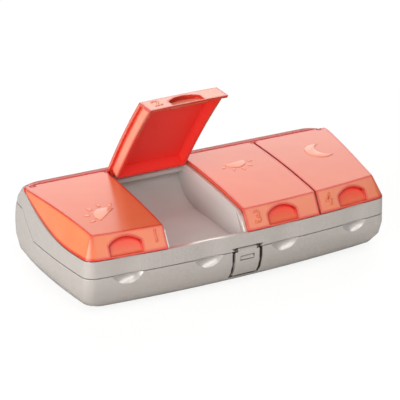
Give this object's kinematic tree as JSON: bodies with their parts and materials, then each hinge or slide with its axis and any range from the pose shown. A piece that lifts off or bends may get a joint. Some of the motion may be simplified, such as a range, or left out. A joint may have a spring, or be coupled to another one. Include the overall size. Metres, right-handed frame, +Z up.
{
  "type": "pill organizer",
  "caption": "Daily pill organizer: a rounded case with a row of hinged coral lids over a compartment tray, a storage bin below and a snap latch at the front.",
  "frame": {"origin": "middle of the flat face that the case rests on", "axes": "+X to the right along the row of lids, -Y towards the user and the latch, +Z up"},
  "size_m": [0.1246, 0.0651, 0.0673],
  "materials": {
    "case_silver": "satin silver",
    "lid_coral": "frosted translucent coral",
    "pin_steel": "drawn wire"
  },
  "bodies": {
    "lower_case": {"lower_shell": "case_silver", "case_hinge_pin_left": "pin_steel", "case_hinge_pin_right": "pin_steel"},
    "tray": {"compartment_tray": "case_silver", "hinge_rail": "lid_coral", "lid_hinge_wire": "pin_steel", "latch_pin": "pin_steel"},
    "morning_lid": {"lid_morning": "lid_coral"},
    "noon_lid": {"lid_noon": "lid_coral"},
    "evening_lid": {"lid_evening": "lid_coral"},
    "night_lid": {"lid_night": "lid_coral"},
    "latch": {"front_latch": "case_silver"}
  },
  "joints": [
    {"name": "case_hinge", "type": "hinge", "parent": "lower_case", "child": "tray", "pos_m": [0, 0.0287, 0.0236], "axis": [-1, 0, 0], "range_deg": [0, 90]},
    {"name": "morning_lid_hinge", "type": "hinge", "parent": "tray", "child": "morning_lid", "pos_m": [-0.045, 0.0161, 0.0315], "axis": [-1, 0, 0], "range_deg": [0, 105]},
    {"name": "noon_lid_hinge", "type": "hinge", "parent": "tray", "child": "noon_lid", "pos_m": [-0.015, 0.0161, 0.0315], "axis": [-1, 0, 0], "range_deg": [-57, 48]},
    {"name": "evening_lid_hinge", "type": "hinge", "parent": "tray", "child": "evening_lid", "pos_m": [0.015, 0.0161, 0.0315], "axis": [-1, 0, 0], "range_deg": [0, 105]},
    {"name": "night_lid_hinge", "type": "hinge", "parent": "tray", "child": "night_lid", "pos_m": [0.045, 0.0161, 0.0315], "axis": [-1, 0, 0], "range_deg": [0, 105]},
    {"name": "latch_hinge", "type": "hinge", "parent": "tray", "child": "latch", "pos_m": [0, -0.0315, 0.015], "axis": [-1, 0, 0], "range_deg": [0, 95]}
  ]
}
